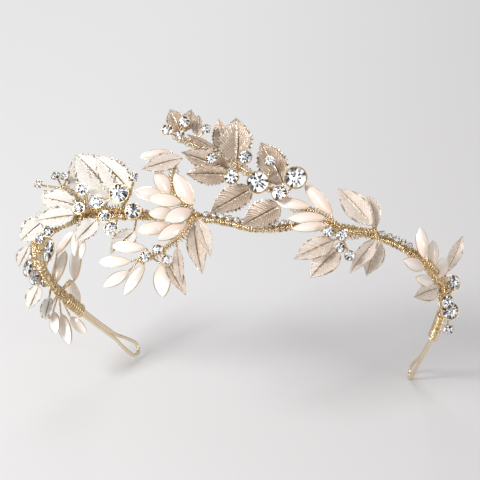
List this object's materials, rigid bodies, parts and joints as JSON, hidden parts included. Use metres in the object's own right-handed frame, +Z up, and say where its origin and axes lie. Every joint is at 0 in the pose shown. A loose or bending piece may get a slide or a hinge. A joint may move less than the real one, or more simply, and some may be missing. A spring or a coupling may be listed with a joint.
{
  "type": "bridal tiara",
  "caption": "Asymmetrical wire tiara: a wound flat-fronted band sprung open by two bare hairpins, carrying sprays of enamelled leaves, pearly petals and claw-set stones.",
  "frame": {"origin": "centre of the head opening, in the plane of the band's wires, 62 mm behind the middle of the front", "axes": "+X to the wearer's left, +Y to the back of the head, +Z up, with the tiara standing as worn, front raised"},
  "size_m": [0.167, 0.107, 0.1215],
  "materials": {
    "gold_wire": "bright warm gold, fine drawn wire wound close",
    "champagne_wire": "satin champagne-gold coating",
    "gold_stem": "bright gold plated wire",
    "gold_back": "gold plated, lightly brushed",
    "gold_setting": "polished gold plating",
    "crystal": "faceted, clear, foil backed",
    "ivory_petal": "pearly ivory enamel",
    "blush_petal": "pearly blush enamel",
    "white_leaf": "white enamel brushed over stamped veins, gold edge",
    "champagne_leaf": "champagne enamel brushed over stamped veins, gold edge"
  },
  "bodies": {
    "band": {"band_wires": "gold_wire", "band_winding": "gold_wire", "left_end_binding": "gold_wire", "right_end_binding": "gold_wire", "chain_settings": "gold_setting", "chain_stones": "crystal", "left_side_stem": "gold_stem", "left_side_leaves": "white_leaf", "left_side_petals": "ivory_petal", "left_side_petal_backs": "gold_back", "left_side_settings": "gold_setting", "left_side_stones": "crystal", "left_temple_stem": "gold_stem", "left_temple_leaves": "white_leaf", "left_temple_petals": "ivory_petal", "left_temple_petal_backs": "gold_back", "left_temple_settings": "gold_setting", "left_temple_stones": "crystal", "blush_flower_stem": "gold_stem", "blush_flower_leaves": "champagne_leaf", "blush_flower_petals": "blush_petal", "blush_flower_petal_backs": "gold_back", "drop_spray_stem": "gold_stem", "drop_spray_leaves": "champagne_leaf", "drop_spray_petals": "ivory_petal", "drop_spray_petal_backs": "gold_back", "drop_spray_settings": "gold_setting", "drop_spray_stones": "crystal", "tall_spray_stem": "gold_stem", "tall_spray_leaves": "champagne_leaf", "tall_spray_settings": "gold_setting", "tall_spray_stones": "crystal", "right_spray_stem": "gold_stem", "right_spray_leaves": "champagne_leaf", "right_spray_petals": "blush_petal", "right_spray_petal_backs": "gold_back", "right_spray_settings": "gold_setting", "right_spray_stones": "crystal", "right_side_stem": "gold_stem", "right_side_leaves": "champagne_leaf", "right_side_petals": "blush_petal", "right_side_petal_backs": "gold_back", "right_side_settings": "gold_setting", "right_side_stones": "crystal"},
    "left_arm": {"left_hairpin": "champagne_wire"},
    "right_arm": {"right_hairpin": "champagne_wire"}
  },
  "joints": [
    {"name": "left_arm_spring", "type": "hinge", "parent": "band", "child": "left_arm", "pos_m": [-0.0663, 0.0133, -0.01584], "axis": [0, 0.766, 0.6428], "range_deg": [-6, 12], "stiffness_Nm_per_rad": 0.2},
    {"name": "right_arm_spring", "type": "hinge", "parent": "band", "child": "right_arm", "pos_m": [0.07153, 0.01277, -0.01522], "axis": [0, -0.766, -0.6428], "range_deg": [-6, 12], "stiffness_Nm_per_rad": 0.2}
  ]
}
